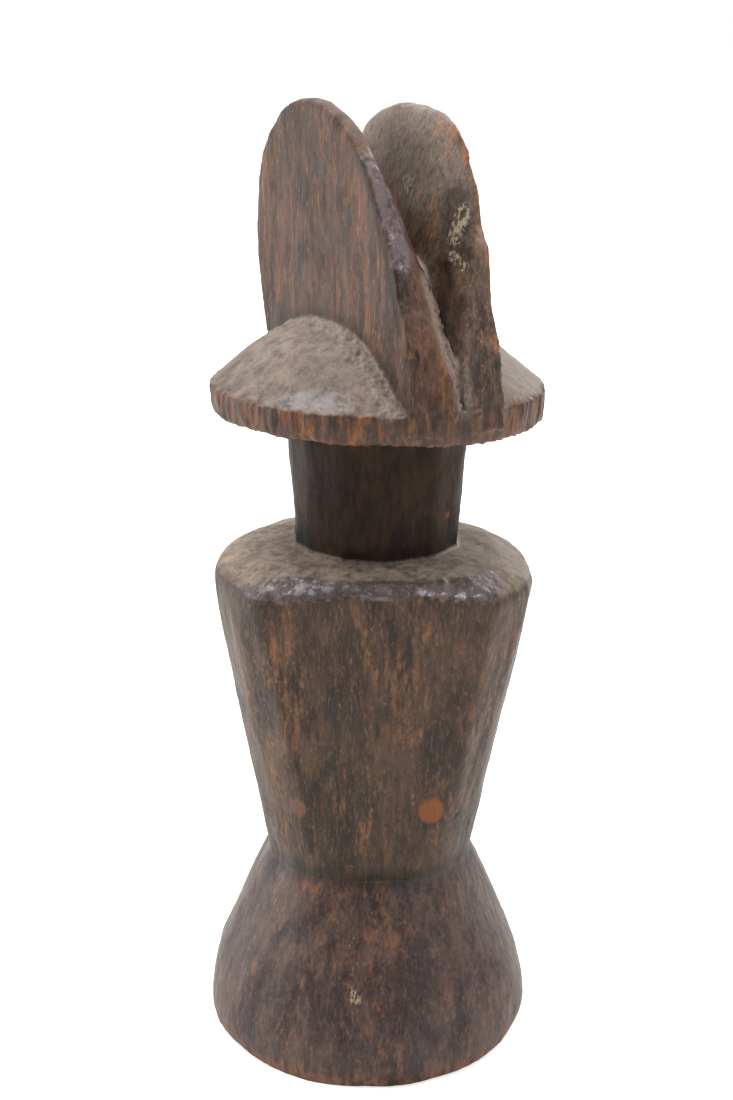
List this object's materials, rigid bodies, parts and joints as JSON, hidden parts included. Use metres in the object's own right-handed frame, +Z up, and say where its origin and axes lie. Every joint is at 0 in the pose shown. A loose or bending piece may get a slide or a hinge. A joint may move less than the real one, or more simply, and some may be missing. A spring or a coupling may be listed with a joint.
{
  "type": "fertility doll",
  "caption": "Carved hardwood fertility doll with a flared base, a tapered torso, a round neck and a brimmed head with twin upright hair crests.",
  "frame": {"origin": "centre of the flat underside of the base", "axes": "+Z up through the doll, -Y towards the front ends of the crests, +X to the right crest"},
  "size_m": [0.0462, 0.0462, 0.1303],
  "materials": {
    "handled_wood": "dark handled patina, satin, rubbed red-brown on the edges",
    "shaded_wood": "very dark patina, satin",
    "dusty_wood": "dark patina with dry dust in the creases, glossy on the rubbed edges"
  },
  "bodies": {
    "root": {"flared_base": "handled_wood", "torso": "handled_wood", "neck": "shaded_wood", "head_disc": "dusty_wood", "left_crest": "dusty_wood", "right_crest": "dusty_wood"}
  },
  "joints": []
}
